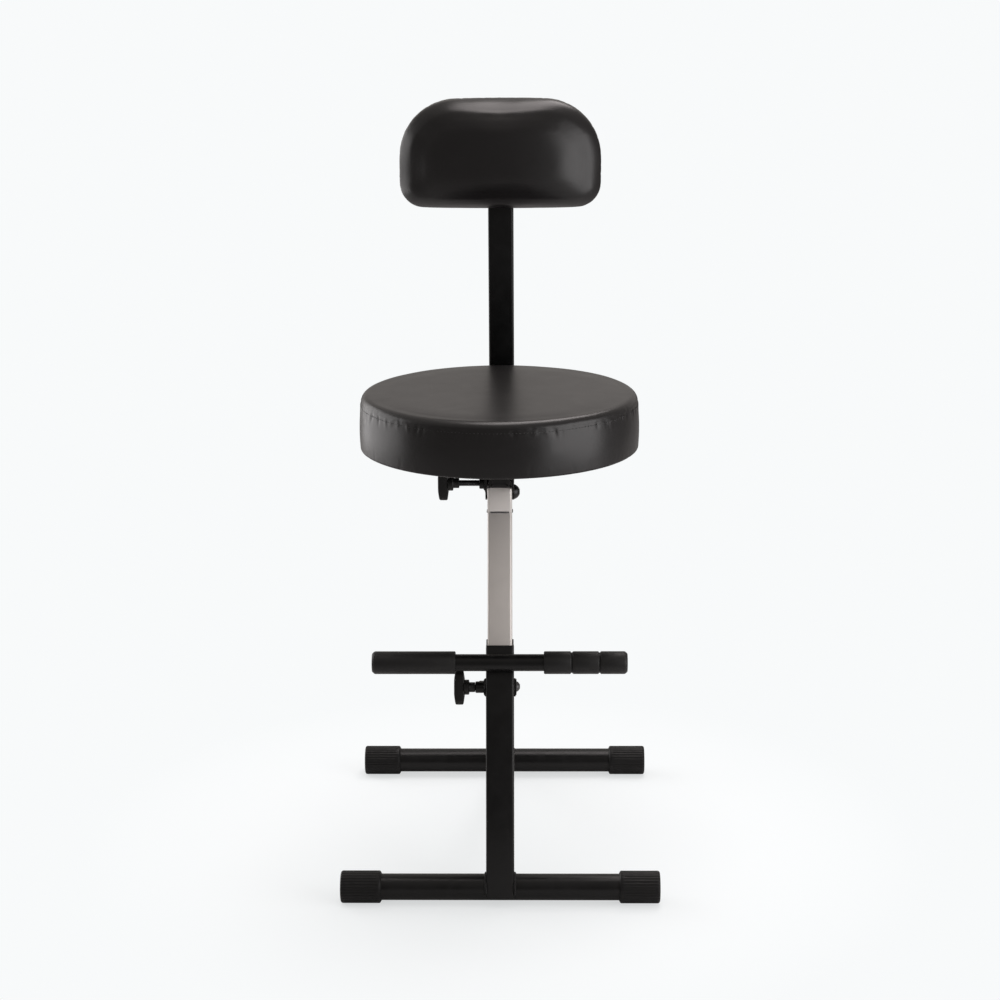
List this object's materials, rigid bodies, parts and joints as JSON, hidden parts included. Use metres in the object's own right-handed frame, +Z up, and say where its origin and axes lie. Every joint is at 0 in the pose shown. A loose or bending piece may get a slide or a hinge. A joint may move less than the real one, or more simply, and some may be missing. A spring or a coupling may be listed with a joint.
{
  "type": "performer's throne with backrest and footrest",
  "caption": "Height-adjustable stool with a round padded seat, a padded backrest on a sliding arm, a footrest bar with grips and a folding H-shaped base.",
  "frame": {"origin": "on the floor, below the middle of the whole outline at rest", "axes": "+X across the seat, +Y from the front base bar towards the backrest, +Z up"},
  "size_m": [0.4, 0.4892, 0.971],
  "materials": {
    "black_steel": "gloss black powder coat",
    "silver_steel": "satin plated",
    "zinc": "zinc plated",
    "black_screw": "black oxide",
    "black_plastic": "moulded",
    "grip_rubber": "satin",
    "seat_vinyl": "smooth vinyl leathercloth",
    "plywood": "raw",
    "dust_cloth": "non-woven"
  },
  "bodies": {
    "front_frame": {"front_base_tube": "black_steel", "front_cap_left": "black_plastic", "front_cap_right": "black_plastic", "front_leg": "black_steel", "leg_guide": "black_plastic", "lock_boss": "black_steel", "pivot_plate_left": "black_steel", "pivot_plate_right": "black_steel", "pivot_bolt": "zinc", "pivot_nut": "zinc", "footrest_tube": "black_steel", "footrest_grip_left": "grip_rubber", "footrest_grip_right": "grip_rubber"},
    "rear_frame": {"rear_base_tube": "black_steel", "rear_cap_left": "black_plastic", "rear_cap_right": "black_plastic", "rear_leg": "black_steel", "pivot_sleeve": "zinc", "rear_leg_stop": "black_plastic"},
    "lock_screw": {"lock_screw": "black_screw"},
    "lock_knob": {"lock_knob": "black_plastic"},
    "seat_post": {"seat_post": "silver_steel", "post_glide": "black_plastic", "post_head": "silver_steel", "arm_rest": "black_plastic", "seat_bracket": "black_steel", "arm_boss": "black_steel", "cross_bolt": "black_screw", "seat_plate": "black_steel", "seat_board": "plywood", "seat_cushion": "seat_vinyl", "seat_screws": "zinc", "seat_tee_nuts": "zinc", "seat_dust_cover": "dust_cloth"},
    "backrest_arm": {"arm_tube": "black_steel", "arm_plug": "black_plastic", "riser_tube": "black_steel", "riser_plug": "black_plastic"},
    "arm_screw": {"arm_screw": "black_screw"},
    "arm_knob": {"arm_knob": "black_plastic"},
    "backrest": {"backrest_sleeve": "black_steel", "sleeve_liners": "black_plastic", "sleeve_cap": "black_plastic", "sleeve_boss": "black_steel", "backrest_board": "plywood", "backrest_pad": "seat_vinyl", "backrest_screws": "black_screw", "backrest_tee_nuts": "zinc", "backrest_cover": "dust_cloth"},
    "sleeve_screw": {"sleeve_screw": "black_screw"},
    "sleeve_knob": {"sleeve_knob": "black_plastic"}
  },
  "joints": [
    {"name": "base_fold", "type": "hinge", "parent": "front_frame", "child": "rear_frame", "pos_m": [0, -0.10465, 0.24959], "axis": [-1, 0, 0], "range_deg": [0, 71]},
    {"name": "seat_height", "type": "slide", "parent": "front_frame", "child": "seat_post", "axis": [0, 0.2841, 0.9588], "range_m": [-0.14, 0.05]},
    {"name": "arm_reach", "type": "slide", "parent": "seat_post", "child": "backrest_arm", "axis": [0, 1, 0], "range_m": [-0.02, 0]},
    {"name": "backrest_height", "type": "slide", "parent": "backrest_arm", "child": "backrest", "axis": [0, 0, 1], "range_m": [-0.03, 0.08]},
    {"name": "lock_knob_turn", "type": "hinge", "parent": "lock_screw", "child": "lock_knob", "pos_m": [0, -0.13457, 0.2595], "axis": [-1, 0, 0], "range_deg": [0, 721]},
    {"name": "lock_screw_travel", "type": "slide", "parent": "front_frame", "child": "lock_screw", "axis": [-1, 0, 0], "range_m": [0, 0.0025]},
    {"name": "arm_knob_turn", "type": "hinge", "parent": "arm_screw", "child": "arm_knob", "pos_m": [0, -0.0956, 0.5146], "axis": [-1, 0, 0], "range_deg": [0, 721]},
    {"name": "arm_screw_travel", "type": "slide", "parent": "seat_post", "child": "arm_screw", "axis": [-1, 0, 0], "range_m": [0, 0.0025]},
    {"name": "sleeve_knob_turn", "type": "hinge", "parent": "sleeve_screw", "child": "sleeve_knob", "pos_m": [0, 0.1434, 0.589], "axis": [0, 1, 0], "range_deg": [0, 721]},
    {"name": "sleeve_screw_travel", "type": "slide", "parent": "backrest", "child": "sleeve_screw", "axis": [0, 1, 0], "range_m": [0, 0.0025]}
  ],
  "couplings": [
    {"joint": "lock_knob_turn", "follows": "lock_screw_travel", "rad_per_m": 5026.5},
    {"joint": "arm_knob_turn", "follows": "arm_screw_travel", "rad_per_m": 5026.5},
    {"joint": "sleeve_knob_turn", "follows": "sleeve_screw_travel", "rad_per_m": 5026.5}
  ]
}
